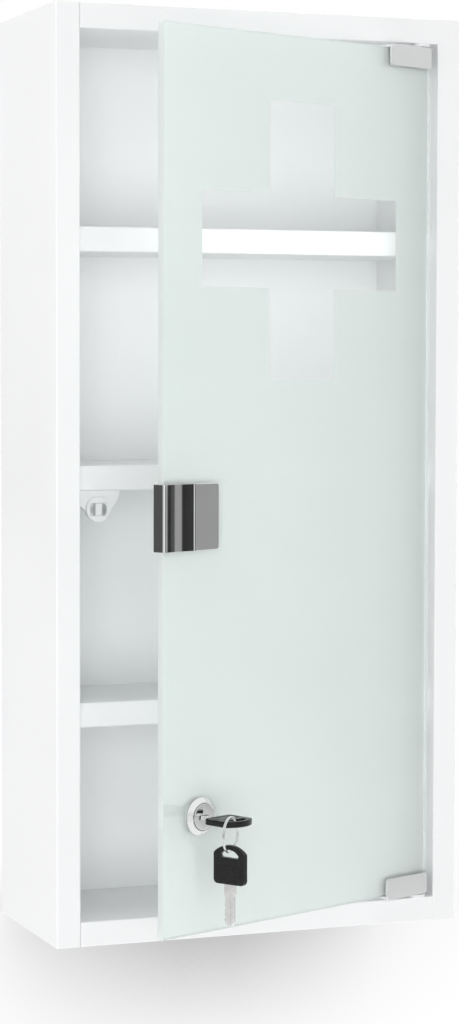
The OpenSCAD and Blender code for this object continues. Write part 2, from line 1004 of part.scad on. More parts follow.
module lock_housing() {
    color(chrome)
        on_lock()
            difference() {
                union() {
                    translate([0, 0, -barrel_rear])
                        cylinder(h = barrel_rear + flange_base, d = barrel_d);
                    translate([0, 0, flange_base])
                        cylinder(h = flange_t, d1 = flange_d, d2 = flange_front_d);
                }
                translate([0, 0, -barrel_rear - cut])
                    cylinder(h = 2 * barrel_rear + flange_front, d = barrel_bore_d);
                translate([0, 0, plug_seat - run_gap])
                    cylinder(h = flange_t, d = plug_head_d + 2 * run_gap);
            }
}

module gasket(z) {
    color(rubber)
        on_lock()
            translate([0, 0, z])
                difference() {
                    cylinder(h = gasket_t, d = flange_d - 1);
                    translate([0, 0, -cut])
                        cylinder(h = gasket_t + 2 * cut, d = barrel_d + 0.2);
                }
}

module lock_gasket_front() {
    gasket(glass_half);
}

module lock_gasket_rear() {
    gasket(-glass_rear - gasket_t);
}

module lock_nut() {
    color(steel)
        on_lock()
            translate([0, 0, -glass_rear - gasket_t - nut_t])
                difference() {
                    cylinder(h = nut_t, d = nut_af / cos(30), $fn = 6);
                    translate([0, 0, -cut])
                        cylinder(h = nut_t + 2 * cut, d = barrel_d + 2 * seat_gap);
                }
}

module lock_plug() {
    color(chrome)
        on_lock()
            difference() {
                union() {
                    translate([0, 0, plug_seat])
                        cylinder(h = plug_head_t, d = plug_head_d);
                    translate([0, 0, plug_rear])
                        cylinder(h = plug_seat - plug_rear, d = plug_d);
                    translate([-cam_square / 2, -cam_square / 2, cam_rear])
                        cube([cam_square, cam_square, plug_rear - cam_rear]);
                }
                translate([-blade_w / 2 - keyway_gap, -blade_t / 2 - keyway_gap, plug_face - keyway_depth])
                    cube([blade_w + 2 * keyway_gap, blade_t + 2 * keyway_gap, keyway_depth + cut]);
                translate([0, 0, cam_rear - cut])
                    cylinder(h = cam_screw_l + cut, d = cam_screw_d + 2 * seat_gap);
            }
}

module lock_cam() {
    hole = cam_square + 2 * seat_gap;
    color(steel)
        on_lock()
            translate([0, 0, cam_rear])
                linear_extrude(cam_t)
                    difference() {
                        union() {
                            circle(d = barrel_d);
                            translate([-cam_w / 2, cam_w / 2 - cam_reach])
                                square([cam_w, cam_reach - cam_w / 2]);
                            translate([0, cam_w / 2 - cam_reach])
                                circle(d = cam_w);
                        }
                        square(hole, center = true);
                    }
}

module cam_screw() {
    color(steel)
        on_lock() {
            translate([0, 0, cam_rear - cam_screw_head_h])
                difference() {
                    cylinder(h = cam_screw_head_h, d = cam_screw_head_d);
                    translate([-cam_screw_head_d, -0.5, -cut])
                        cube([2 * cam_screw_head_d, 1, cut + 1]);
                }
            translate([0, 0, cam_rear])
                cylinder(h = cam_screw_l - 0.3, d = cam_screw_d);
        }
}

// ---------- keys ----------

// Blade with a pointed tip, a shallow groove on each side and a tang that sits in the head
module blade_shape() {
    tip = 3;
    groove_w = 1.2;
    groove = 0.4;
    translate([-tang_w / 2, -tang_t / 2, 0])
        cube([tang_w, tang_t, tang_l]);
    difference() {
        translate([0, blade_t / 2, 0])
            rotate([90, 0, 0])
                linear_extrude(blade_t)
                    polygon([
                        [-blade_w / 2, 0], [blade_w / 2, 0], [blade_w / 2, tip - blade_l],
                        [blade_w / 6, -blade_l], [-blade_w / 6, -blade_l], [-blade_w / 2, tip - blade_l]
                    ]);
        for (side = [-1, 1])
            translate([blade_w / 6 - groove_w / 2, side * blade_t / 2 - groove, -blade_l - cut])
                cube([groove_w, 2 * groove, blade_l - 4]);
    }
}

// Outline of the head, x across and y along: straight sides, round corners and a domed end
module head_outline() {
    intersection() {
        union() {
            translate([-head_w / 2, head_corner_r])
                square([head_w, head_l - head_corner_r]);
            translate([-head_w / 2 + head_corner_r, 0])
                square([head_w - 2 * head_corner_r, head_l]);
            for (side = [-1, 1])
                translate([side * (head_w / 2 - head_corner_r), head_corner_r])
                    circle(head_corner_r);
        }
        translate([0, head_l - dome_r])
            circle(dome_r, $fn = 96);
    }
}

// Outline of the eye: a slot with round ends under a low arch
module eye_outline() {
    translate([0, eye_base + eye_end_r])
        rotate(90)
            slot_2d(2 * eye_end_r, eye_w);
    intersection() {
        translate([0, eye_top - arch_r])
            circle(arch_r, $fn = 96);
        translate([-eye_w / 2, eye_base + eye_end_r])
            square([eye_w, eye_h]);
    }
}

module head_shape() {
    difference() {
        translate([0, head_t / 2, 0])
            rotate([90, 0, 0])
                linear_extrude(head_t)
                    difference() {
                        head_outline();
                        eye_outline();
                    }
        for (side = [-1, 1])
            translate([0, side * head_t / 2, panel_base + panel_l / 2])
                rotate([90, 0, 0])
                    linear_extrude(2 * panel_recess, center = true)
                        rounded_rect(panel_w, panel_l, 2.5);
        translate([-tang_w / 2, -tang_t / 2, -cut])
            cube([tang_w, tang_t, tang_l + cut]);
    }
}

module on_key() {
    on_lock()
        translate([0, 0, key_shoulder])
            children();
}

module key_blade() {
    color(steel) on_key() blade_shape();
}

module key_head() {
    color(black) on_key() head_shape();
}

module key_ring() {
    color(chrome)
        on_ring()
            rotate_extrude($fn = 72)
                translate([ring_r, 0])
                    circle(d = ring_wire_d, $fn = 24);
}

module spare_key_blade() {
    color(steel) on_spare_key() blade_shape();
}

module spare_key_head() {
    color(black) on_spare_key() head_shape();
}

side_panel_left();
side_panel_right();
top_panel();
bottom_panel();
back_panel();
shelf_upper();
shelf_middle();
shelf_lower();
dowels_left();
dowels_right();
hanger_plate_left();
hanger_plate_right();
hanger_screws();
strike_plate();
strike_screws();
catch_housing();
catch_magnet();
catch_pole_left();
catch_pole_right();
catch_screws();
hinge_bush_top();
hinge_bush_bottom();
door_glass();
frosting();
hinge_clip_top();
hinge_clip_bottom();
clip_pads_top();
clip_pads_bottom();
clip_screws_top();
clip_screws_bottom();
pivot_pin_top();
pivot_pin_bottom();
handle_clip();
handle_pads();
handle_screws();
lock_housing();
lock_gasket_front();
lock_gasket_rear();
lock_nut();
lock_plug();
lock_cam();
cam_screw();
key_blade();
key_head();
key_ring();
spare_key_blade();
spare_key_head();
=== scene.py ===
"""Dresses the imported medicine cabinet: camera, stage, light, materials and the finely made pieces.
Metres, in the CAD frame. Shapes below are written in millimetres and scaled as they are made."""

import math

import bmesh
import bpy
from mathutils import Matrix, Vector


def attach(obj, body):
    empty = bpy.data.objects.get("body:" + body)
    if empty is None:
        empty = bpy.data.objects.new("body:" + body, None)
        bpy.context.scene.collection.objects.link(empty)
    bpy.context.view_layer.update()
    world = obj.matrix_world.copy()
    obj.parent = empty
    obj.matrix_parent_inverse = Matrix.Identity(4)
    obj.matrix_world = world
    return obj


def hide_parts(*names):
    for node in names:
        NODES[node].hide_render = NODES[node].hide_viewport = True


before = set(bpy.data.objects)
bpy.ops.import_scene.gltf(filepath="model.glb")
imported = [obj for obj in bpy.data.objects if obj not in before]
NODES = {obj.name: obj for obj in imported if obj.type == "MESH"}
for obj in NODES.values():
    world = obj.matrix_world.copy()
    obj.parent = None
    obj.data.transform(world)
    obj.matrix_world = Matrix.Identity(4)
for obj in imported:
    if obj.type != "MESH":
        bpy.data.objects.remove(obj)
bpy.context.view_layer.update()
SCALE = Matrix.Scale(0.001, 4)


def turn(degrees, axis):
    return Matrix.Rotation(math.radians(degrees), 4, axis)


def shift(x, y, z):
    return Matrix.Translation((x, y, z))


# Sizes and frames in millimetres, as in the CAD.
HINGE_X = 113.5
HINGE_Y = -120.5
DOOR_ANGLE = 23.5
GLASS_LEFT = -234.5
GLASS_RIGHT = 7.5
GLASS_FOOT = -519.5
GLASS_HEAD = 39.5
GLASS_HALF = 2.5
LOCK_X = -203.5
LOCK_Y = -446

# FRONT has x along the glass, y up and z out of its front, from the middle of its thickness. KEY and
# SPARE start where a key's head meets its blade, and RING has its z along the ring's axis.
DOOR = shift(HINGE_X, HINGE_Y, 0) @ turn(DOOR_ANGLE, "Z")
FRONT = DOOR @ turn(90, "X")
LOCK = FRONT @ shift(LOCK_X, LOCK_Y, 0)
KEY = LOCK @ shift(0, 0, 17.6)
RING = LOCK @ shift(-9.486, -5.7, 39.248) @ turn(22, "Y")
SPARE = RING @ shift(0, -30.4, 0) @ turn(-102, "Y") @ turn(-90, "X")

# ---------- camera ----------

CAMERA_PLACE = (-0.6585, -1.7915, -0.162)
CAMERA_YAW = 20.88
CAMERA_PITCH = -3.23
CAMERA_ROLL = 0.12
CAMERA_LENS = 96.98


def make_camera():
    """The photograph's camera: yaw from +Y towards +X, pitch up from level, and a slight roll."""
    yaw, pitch, roll = (math.radians(a) for a in (CAMERA_YAW, CAMERA_PITCH, CAMERA_ROLL))
    level = math.cos(pitch)
    ahead = Vector((math.sin(yaw) * level, math.cos(yaw) * level, math.sin(pitch)))
    right = Vector((math.cos(yaw), -math.sin(yaw), 0))
    up = right.cross(ahead)
    tilted = right * math.cos(roll) + up * math.sin(roll)
    up = tilted.cross(ahead)
    data = bpy.data.cameras.new("camera")
    data.sensor_width = 36
    data.lens = CAMERA_LENS
    data.clip_start = 0.05
    data.clip_end = 60
    camera = bpy.data.objects.new("camera", data)
    rotation = Matrix((tilted, up, -ahead)).transposed().to_4x4()
    camera.matrix_world = Matrix.Translation(CAMERA_PLACE) @ rotation
    bpy.context.scene.collection.objects.link(camera)
    bpy.context.scene.camera = camera


make_camera()

# ---------- node helpers ----------


class Tree:
    """A node tree with short ways to add nodes and links."""

    def __init__(self, tree):
        self.tree = tree
        tree.nodes.clear()

    def node(self, kind, links=None, **settings):
        n = self.tree.nodes.new("ShaderNode" + kind)
        for key, value in settings.items():
            setattr(n, key, value)
        for socket, value in (links or {}).items():
            self.put(n.inputs[socket], value)
        return n

    def put(self, socket, value):
        if isinstance(value, bpy.types.NodeSocket):
            self.tree.links.new(value, socket)
        elif isinstance(value, (tuple, list)) and socket.type == "RGBA":
            socket.default_value = (*value[:3], 1)
        else:
            socket.default_value = value

    def math(self, operation, *values):
        return self.node("Math", dict(enumerate(values)), operation=operation).outputs[0]

    def mix(self, amount, a, b):
        n = self.node("Mix", data_type="RGBA")
        for name, value in (("Factor", amount), ("A", a), ("B", b)):
            socket = [s for s in n.inputs if s.name == name and s.enabled][0]
            self.put(socket, value)
        return [s for s in n.outputs if s.enabled][0]

    def ramp(self, value, low, high, out_low, out_high):
        """The value carried from low..high to out_low..out_high, and held at those ends."""
        links = {"Value": value, "From Min": low, "From Max": high, "To Min": out_low, "To Max": out_high}
        return self.node("MapRange", links).outputs["Result"]

    def place(self, stretch=(1, 1, 1)):
        """Object coordinates in metres, which stay with the piece when a joint moves."""
        where = self.node("TexCoord").outputs["Object"]
        return self.node("Mapping", {"Vector": where, "Scale": stretch}).outputs["Vector"]

    def noise(self, where, scale, detail=3.0):
        links = {"Vector": where, "Scale": scale, "Detail": detail, "Roughness": 0.55}
        return self.node("TexNoise", links).outputs["Fac"]

    def bump(self, height, strength, distance):
        links = {"Height": height, "Strength": strength, "Distance": distance}
        return self.node("Bump", links).outputs["Normal"]

    def out(self, shader, kind="OutputMaterial"):
        self.node(kind, {"Surface": shader})


def scaled(colour, by):
    return tuple(min(1.0, c * by) for c in colour)


def new_material(name):
    m = bpy.data.materials.new(name)
    m.use_nodes = True
    return m, Tree(m.node_tree)


def finish_material(
    name, colour, rough, spread, grain, depth, metal=0.0, mottle=30,
    swing=0.05, stretch=(1, 1, 1), specular=0.5, fine=0.35,
):
    """A solid finish: slow changes of tone by spread, and a fine grain in roughness and height."""
    m, t = new_material(name)
    where = t.place(stretch)
    slow = t.noise(t.place(), mottle)
    quick = t.noise(where, grain, 4)
    tone = t.mix(t.ramp(slow, 0.35, 0.65, 0, 1), scaled(colour, 1 - spread), scaled(colour, 1 + spread))
    roughness = t.ramp(t.math("ADD", slow, quick), 0.7, 1.3, rough - swing, rough + swing)
    shader = t.node("BsdfPrincipled", {
        "Base Color": tone, "Roughness": roughness, "Metallic": metal,
        "Normal": t.bump(quick, fine, depth), "Specular IOR Level": specular,
    })
    t.out(shader.outputs["BSDF"])
    return m


def lacquer_material():
    """Satin white lacquer over board: faint orange peel and slow waves of the sanded surface."""
    m, t = new_material("white_lacquer")
    where = t.place()
    slow = t.noise(where, 9, 2)
    peel = t.noise(where, 650, 3)
    dust = t.noise(where, 3200, 2)
    colour = t.mix(t.ramp(slow, 0.3, 0.7, 0, 1), (0.925, 0.928, 0.935), (0.94, 0.943, 0.95))
    rough = t.ramp(t.math("ADD", slow, dust), 0.7, 1.3, 0.34, 0.46)
    height = t.math("ADD", t.math("MULTIPLY", slow, 4.0), peel)
    shader = t.node("BsdfPrincipled", {
        "Base Color": colour, "Roughness": rough, "Normal": t.bump(height, 0.12, 0.00003),
        "Specular IOR Level": 0.4,
    })
    t.out(shader.outputs["BSDF"])
    return m


def wood_material():
    """Beech: long pale fibres with short dark flecks, along the dowel."""
    m, t = new_material("beech")
    fibre = t.noise(t.place((60, 900, 900)), 1.0, 5)
    fleck = t.noise(t.place((250, 2600, 2600)), 1.0, 2)
    colour = t.mix(t.ramp(fibre, 0.3, 0.7, 0, 1), (0.55, 0.38, 0.22), (0.74, 0.56, 0.36))
    colour = t.mix(t.ramp(fleck, 0.62, 0.72, 0, 0.6), colour, (0.36, 0.22, 0.12))
    shader = t.node("BsdfPrincipled", {
        "Base Color": colour, "Roughness": t.ramp(fleck, 0.3, 0.7, 0.55, 0.75),
        "Normal": t.bump(fibre, 0.4, 0.0001),
    })
    t.out(shader.outputs["BSDF"])
    return m


def lets_lamps_through(t, shader, tint):
    """The shader as it is, but open to rays from lamps, so that light reaches what is behind it."""
    clear = t.node("BsdfTransparent", {"Color": tint}).outputs[0]
    lamp = t.node("LightPath").outputs["Is Shadow Ray"]
    return t.node("MixShader", {0: lamp, 1: shader, 2: clear}).outputs[0]


def glass_material():
    """Clear float glass. Its ground edges scatter light and look paler than its faces."""
    m, t = new_material("clear_glass")
    local = t.node("TexCoord").outputs["Normal"]
    out = FRONT.to_3x3() @ Vector((0, 0, 1))
    facing = t.node("VectorMath", {0: local, 1: tuple(out)}, operation="DOT_PRODUCT").outputs["Value"]
    edge = t.ramp(t.math("ABSOLUTE", facing), 0.95, 0.55, 0, 1)
    where = t.place()
    ground = t.noise(where, 2500, 3)
    wave = t.noise(where, 14, 2)
    face = t.mix(wave, (0.983, 0.995, 0.992), (0.987, 0.997, 0.994))
    normal = t.bump(wave, 0.05, 0.0002)
    clear = t.node("BsdfPrincipled", {
        "Base Color": face, "Transmission Weight": 1.0, "IOR": 1.5, "Roughness": 0.0, "Normal": normal,
    }).outputs["BSDF"]
    rim = t.mix(ground, (0.79, 0.845, 0.83), (0.85, 0.89, 0.88))
    matt = t.node("BsdfPrincipled", {
        "Base Color": rim, "Roughness": t.ramp(ground, 0.3, 0.7, 0.3, 0.45),
        "Normal": t.bump(ground, 0.3, 0.00002),
    }).outputs["BSDF"]
    through = t.node("BsdfTranslucent", {"Color": rim}).outputs[0]
    rough_edge = t.node("MixShader", {0: 0.3, 1: matt, 2: through}).outputs[0]
    shader = t.node("MixShader", {0: t.math("MULTIPLY", edge, 0.85), 1: clear, 2: rough_edge}).outputs[0]
    t.out(lets_lamps_through(t, shader, (0.98, 0.992, 0.989)))
    return m


def frost_material():
    """The etched rear of the glass: it scatters what passes through and sends part of the light back."""
    m, t = new_material("frosting")
    where = t.place()
    etch = t.noise(where, 4200, 3)
    slow = t.noise(where, 7, 2)
    tint = t.mix(t.ramp(slow, 0.3, 0.7, 0, 1), (0.895, 0.919, 0.912), (0.915, 0.936, 0.93))
    normal = t.bump(etch, 0.25, 0.00002)
    rough = t.ramp(etch, 0.3, 0.7, 0.5, 0.62)
    blur = t.node("BsdfPrincipled", {
        "Base Color": tint, "Transmission Weight": 1.0, "IOR": 1.3, "Roughness": rough, "Normal": normal,
    })
    milk = t.mix(t.ramp(slow, 0.3, 0.7, 0, 1), (0.57, 0.607, 0.595), (0.585, 0.62, 0.609))
    back = t.node("BsdfDiffuse", {"Color": milk, "Normal": normal}).outputs[0]
    through = t.node("BsdfTranslucent", {"Color": milk, "Normal": normal}).outputs[0]
    haze = t.node("MixShader", {0: 0.09, 1: back, 2: through}).outputs[0]
    shader = t.node("MixShader", {0: 0.78, 1: blur.outputs["BSDF"], 2: haze}).outputs[0]
    t.out(lets_lamps_through(t, shader, (0.975, 0.985, 0.982)))
    return m


LACQUER = lacquer_material()
WOOD = wood_material()
GLASS = glass_material()
FROST = frost_material()
CHROME = finish_material("polished_chrome", (0.80, 0.805, 0.81), 0.07, metal=1.0, spread=0.015,
                         grain=1500, depth=0.000004, swing=0.03, fine=0.25)
STEEL = finish_material("zinc_steel", (0.62, 0.63, 0.645), 0.32, metal=1.0, spread=0.08, mottle=160,
                        grain=2200, depth=0.00001, swing=0.08)
NICKEL = finish_material("nickel_silver", (0.86, 0.857, 0.85), 0.24, metal=1.0, spread=0.04, mottle=220,
                         grain=900, depth=0.000008, swing=0.06, stretch=(1, 1, 8))
NYLON = finish_material("white_nylon", (0.86, 0.865, 0.875), 0.42, spread=0.015, mottle=60,
                        grain=1800, depth=0.00002, specular=0.45)
FERRITE = finish_material("magnet_ferrite", (0.05, 0.05, 0.054), 0.6, spread=0.2, mottle=500,
                          grain=3000, depth=0.00005)
RUBBER = finish_material("grey_rubber", (0.055, 0.056, 0.06), 0.7, spread=0.12, mottle=300,
                         grain=3500, depth=0.00004, specular=0.35)
BLACK = finish_material("black_plastic", (0.0095, 0.0098, 0.0105), 0.3, spread=0.12, mottle=200,
                        grain=2600, depth=0.00002, specular=0.3)

# ---------- mesh helpers ----------


def circle(x, y, r, count):
    steps = [2 * math.pi * i / count for i in range(count)]
    return [(x + r * math.cos(a), y + r * math.sin(a)) for a in steps]


def arc(x, y, r, start, end, count):
    steps = [math.radians(start + (end - start) * i / count) for i in range(count + 1)]
    return [(x + r * math.cos(a), y + r * math.sin(a)) for a in steps]


def box_outline(x0, y0, x1, y1, r=0.0, count=3):
    """Rectangle with corners of radius r, counter-clockwise."""
    if r <= 0:
        return [(x0, y0), (x1, y0), (x1, y1), (x0, y1)]
    corners = ((x1 - r, y0 + r), (x1 - r, y1 - r), (x0 + r, y1 - r), (x0 + r, y0 + r))
    out = []
    for (x, y), start in zip(corners, (-90, 0, 90, 180)):
        out += arc(x, y, r, start, start + 90, count)
    return out


def moved_out(loop, by):
    """The closed counter-clockwise outline moved outwards by a distance."""
    out = []
    for i, p in enumerate(loop):
        a, b = Vector(loop[i - 1]), Vector(loop[(i + 1) % len(loop)])
        p = Vector(p)
        d1, d2 = (p - a).normalized(), (b - p).normalized()
        n1, n2 = Vector((d1.y, -d1.x)), Vector((d2.y, -d2.x))
        out.append(tuple(p + by * (n1 + n2) / max(0.3, 1 + n1.dot(n2))))
    return out


def edge_steps(r, low, high, count, groove):
    """(inset, height) pairs of a wall from low to high with rounded ends; r is (at low, at high).
    A groove of that depth runs round the middle, unless it is 0."""
    out = []
    for k in range(count + 1 if r[0] > 0 else 1):
        a = math.pi / 2 * k / count
        out.append((r[0] * (1 - math.sin(a)), low + r[0] * (1 - math.cos(a))))
    if groove:
        mid = (low + high) / 2
        out += [(0, mid - 1.6 * groove), (groove, mid - 0.6 * groove), (groove, mid + 0.6 * groove),
                (0, mid + 1.6 * groove)]
    for k in range(count + 1 if r[1] > 0 else 1):
        a = math.pi / 2 * (1 - k / count)
        out.append((r[1] * (1 - math.sin(a)), high - r[1] * (1 - math.cos(a))))
    return out


def ring_of(bm, loop, z):
    return [bm.verts.new((x, y, z)) for x, y in loop]


def strip(bm, a, b):
    for i in range(len(a)):
        j = (i + 1) % len(a)
        bm.faces.new((a[i], a[j], b[j], b[i]))


def strips(bm, rings):
    """Walls from each ring of vertices to the next."""
    for a, b in zip(rings, rings[1:]):
        strip(bm, a, b)


def cap(bm, loops):
    """Fills a flat face within the first loop, with the other loops as its holes."""
    edges = []
    for loop in loops:
        for i in range(len(loop)):
            pair = (loop[i], loop[(i + 1) % len(loop)])
            edges.append(bm.edges.get(pair) or bm.edges.new(pair))
    bmesh.ops.triangle_fill(bm, use_beauty=True, edges=edges, normal=(0, 0, 1))


def plate(outer, low, high, holes=(), r=0.3, count=3, pockets=(), bm=None, groove=0.0):
    """A slab with rounded edges, through holes and pockets. A pocket is an outline, its depth, the
    side it is in, "low" or "high", and the radius of its rim."""
    bm = bm or bmesh.new()
    r = r if isinstance(r, tuple) else (r, r)
    bottom, top = [], []
    for loop, way in [(outer, -1)] + [(h, 1) for h in holes]:
        steps = edge_steps(r, low, high, count, groove if way < 0 else 0)
        rings = [ring_of(bm, moved_out(loop, way * inset), z) for inset, z in steps]
        strips(bm, rings)
        bottom.append(rings[0])
        top.append(rings[-1])
    for loop, depth, side, soft in pockets:
        z0, way = (high, -1) if side == "high" else (low, 1)
        steps = [(soft * (1 - math.sin(a)), z0 + way * soft * (1 - math.cos(a)))
                 for a in (math.pi / 2 * k / count for k in range(count + 1))]
        steps += [(-inset, 2 * z0 + way * depth - z) for inset, z in reversed(steps)]
        rings = [ring_of(bm, moved_out(loop, inset), z) for inset, z in steps]
        strips(bm, rings)
        cap(bm, [rings[-1]])
        (top if side == "high" else bottom).append(rings[0])
    cap(bm, bottom)
    cap(bm, top)
    return bm


def add_mesh(bm, part):
    """Adds the faces of another bmesh, and frees it."""
    mesh = bpy.data.meshes.new("part")
    part.to_mesh(mesh)
    part.free()
    bm.from_mesh(mesh)
    bpy.data.meshes.remove(mesh)


def piece(name, bm, material, body, at, nodes, sharp=35):
    """The mesh, moved from its own frame in millimetres to its place, as a piece that rides on a body.
    Edges of that many degrees or more stay sharp in its shading."""
    bmesh.ops.transform(bm, matrix=SCALE @ at, verts=bm.verts)
    bmesh.ops.recalc_face_normals(bm, faces=bm.faces)
    mesh = bpy.data.meshes.new(name)
    bm.to_mesh(mesh)
    bm.free()
    mesh.polygons.foreach_set("use_smooth", [True] * len(mesh.polygons))
    mesh.set_sharp_from_angle(angle=math.radians(sharp))
    mesh.materials.append(material)
    o = bpy.data.objects.new(name, mesh)
    bpy.context.scene.collection.objects.link(o)
    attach(o, body)
    if nodes:
        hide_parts(*nodes)
    even = o.modifiers.new("even_normals", "WEIGHTED_NORMAL")
    even.keep_sharp = True


def refined(name, node, material, body, width):
    """A node's own shape with its sharp edges rounded, which are those of more than 30 degrees."""
    same_place = 2e-6
    flat = math.radians(0.5)
    hard = math.radians(30)
    bm = bmesh.new()
    bm.from_mesh(NODES[node].data)
    bmesh.ops.remove_doubles(bm, verts=bm.verts, dist=same_place)
    bmesh.ops.dissolve_limit(bm, angle_limit=flat, verts=bm.verts, edges=bm.edges)
    edges = [e for e in bm.edges if len(e.link_faces) == 2 and e.calc_face_angle() > hard]
    bmesh.ops.bevel(bm, geom=edges, offset=width / 1000, segments=3, profile=0.5, affect="EDGES",
                    clamp_overlap=True)
    bmesh.ops.transform(bm, matrix=Matrix.Scale(1000, 4), verts=bm.verts)
    piece(name, bm, material, body, Matrix.Identity(4), [node])


# ---------- finish of the CAD nodes ----------

FINISH = {
    LACQUER: "side_panel_left side_panel_right top_panel bottom_panel back_panel "
             "shelf_upper shelf_middle shelf_lower",
    WOOD: "dowels_left dowels_right",
    STEEL: "hanger_plate_left hanger_plate_right hanger_screws strike_plate strike_screws "
           "catch_pole_left catch_pole_right catch_screws clip_screws_top clip_screws_bottom "
           "pivot_pin_top pivot_pin_bottom handle_screws lock_nut lock_cam cam_screw",
    NYLON: "catch_housing hinge_bush_top hinge_bush_bottom",
    FERRITE: "catch_magnet",
    GLASS: "door_glass",
    FROST: "frosting",
    CHROME: "hinge_clip_top hinge_clip_bottom handle_clip lock_housing lock_plug key_ring",
    RUBBER: "clip_pads_top clip_pads_bottom handle_pads lock_gasket_front lock_gasket_rear",
    NICKEL: "key_blade spare_key_blade",
    BLACK: "key_head spare_key_head",
}
for finish, names in FINISH.items():
    for n in names.split():
        mesh = NODES[n].data
        mesh.materials.clear()
        mesh.materials.append(finish)

# ---------- door glass and frosting ----------

CROSS_X = -111.5
CROSS_Y = -89.5
CROSS_SIZE = 176
CROSS_ARM = 59
LOCK_HOLE = circle(LOCK_X, LOCK_Y, 9.5, 96)


def cross_outline(x, y, a, b):
    """A cross about (x, y) whose arms reach out by a and are 2 b wide."""
    corners = [(-a, -b), (-b, -b), (-b, -a), (b, -a), (b, -b), (a, -b),
               (a, b), (b, b), (b, a), (-b, a), (-b, b), (-a, b)]
    return [(x + u, y + v) for u, v in corners]


def glass_piece():
    pane = box_outline(GLASS_LEFT, GLASS_FOOT, GLASS_RIGHT, GLASS_HEAD)
    piece("glass_pane", plate(pane, -GLASS_HALF, GLASS_HALF, [LOCK_HOLE], r=0.5, count=2),
          GLASS, "door", FRONT, ["door_glass"], 20)


def frosting_piece():
    """The etched layer behind the glass, with the clear cross and the lock's hole left out of it."""
    inset = 0.4
    gap = 0.03
    thick = 0.15
    front = -GLASS_HALF - gap
    layer = box_outline(GLASS_LEFT + inset, GLASS_FOOT + inset, GLASS_RIGHT - inset, GLASS_HEAD - inset)
    cross = cross_outline(CROSS_X, CROSS_Y, CROSS_SIZE / 2, CROSS_ARM / 2)
    piece("frosted_layer", plate(layer, front - thick, front, [LOCK_HOLE, cross], r=0),
          FROST, "door", FRONT, ["frosting"], 20)


glass_piece()
frosting_piece()

# ---------- handle ----------


def softened(points, radii, count):
    """The outline with each corner rounded; radii holds one radius for each corner."""
    out = []
    for i, (p, r) in enumerate(zip(points, radii)):
        p = Vector(p)
        if r <= 0:
            out.append(tuple(p))
            continue
        u = (Vector(points[i - 1]) - p).normalized()
        v = (Vector(points[(i + 1) % len(points)]) - p).normalized()
        half = math.acos(max(-1, min(1, u.dot(v)))) / 2
        reach = r / math.tan(half)
        centre = p + (u + v).normalized() * r / math.sin(half)
        a, b = p + u * reach - centre, p + v * reach - centre
        swing = math.atan2(a.x * b.y - a.y * b.x, a.dot(b))
        for k in range(count + 1):
            c, s = math.cos(swing * k / count), math.sin(swing * k / count)
            out.append((centre.x + a.x * c - a.y * s, centre.y + a.x * s + a.y * c))
    return out


def handle_piece():
    """A bent plate clipped on the glass's edge: round lips on both sides of a scoop, and a flat wing."""
    foot = -281.25
    head = -239.75
    front = -5.25
    left_lip = 1.6
    right_lip = 1.3
    scoop_x = -222.6
    scoop_deep = 1.6
    scoop_half = 11.6
    scoop_r = 42.845
    half = math.degrees(math.asin(scoop_half / scoop_r))
    scoop = arc(scoop_x, front + scoop_deep - scoop_r, scoop_r, 90 + half, 90 - half, 28)
    scoop = [(x, y) for x, y in scoop if -234.2 < x < -211.15]
    left = arc(-235.0, front + left_lip, left_lip, 180, 270, 10)
    left += [(-234.6, -5.18), (-234.25, -5.0)]
    right = [(-211.1, -5.0), (-210.75, -5.18), (-210.4, front)]
    right += arc(-209.9, front + right_lip, right_lip, 270, 360, 9)
    rest = [(-208.6, -3.0), (-234.5, -3.0)]
    inner = arc(-234.5, -2.7, 0.3, 270, 180, 3)[1:]
    inner += [(-234.8, 2.9)] + arc(-234.5, 2.9, 0.3, 180, 90, 3)[1:]
    rear = [(-214.9, 3.2)] + arc(-215.1, 3.95, 0.5, -60, 90, 6)[1:]
    rear[-1:] = [(-215.3, 4.6), (-215.8, 4.7)]
    heel = [(-235.6, 4.7)] + arc(-235.6, 3.7, 1.0, 90, 180, 6)[1:]
    outline = left + scoop + right + rest + inner + rear + heel
    bm = plate(outline, foot, head, r=0.25, count=3)
    wing = softened(box_outline(-209.4, foot, -189.1, head), [0, 2, 2, 0], 6)
    flat = plate(wing, 3.0, 4.3, r=(0.15, 0.6), count=5)
    bmesh.ops.transform(flat, matrix=turn(90, "X"), verts=flat.verts)
    add_mesh(bm, flat)
    piece("handle_plate", bm, CHROME, "door", DOOR, ["handle_clip"], 21)


handle_piece()

# ---------- lock ----------

BARREL_SIDES = 60
BARREL_R = 9.0
THREAD_ROWS = 5  # rings of vertices in each turn of the thread
CAM_REAR = -14.7


def thread(bm, depth, low, high, pitch):
    """The barrel's threaded wall, open at both ends. Returns its lowest and highest ring."""
    rows = []
    levels = int((high - low) / pitch * THREAD_ROWS)
    for k in range(levels + 1):
        z = low + (high - low) * k / levels
        fade = min(1, (z - low) / pitch, (high - z) / pitch)
        row = []
        for i in range(BARREL_SIDES):
            phase = (z / pitch - i / BARREL_SIDES) % 1
            crest = min(1, 1.5 * abs(2 * phase - 1))
            radius = BARREL_R - depth * (1 - fade * crest)
            a = 2 * math.pi * i / BARREL_SIDES
            row.append(bm.verts.new((radius * math.cos(a), radius * math.sin(a), z)))
        rows.append(row)
    strips(bm, rows)
    return rows[0], rows[-1]


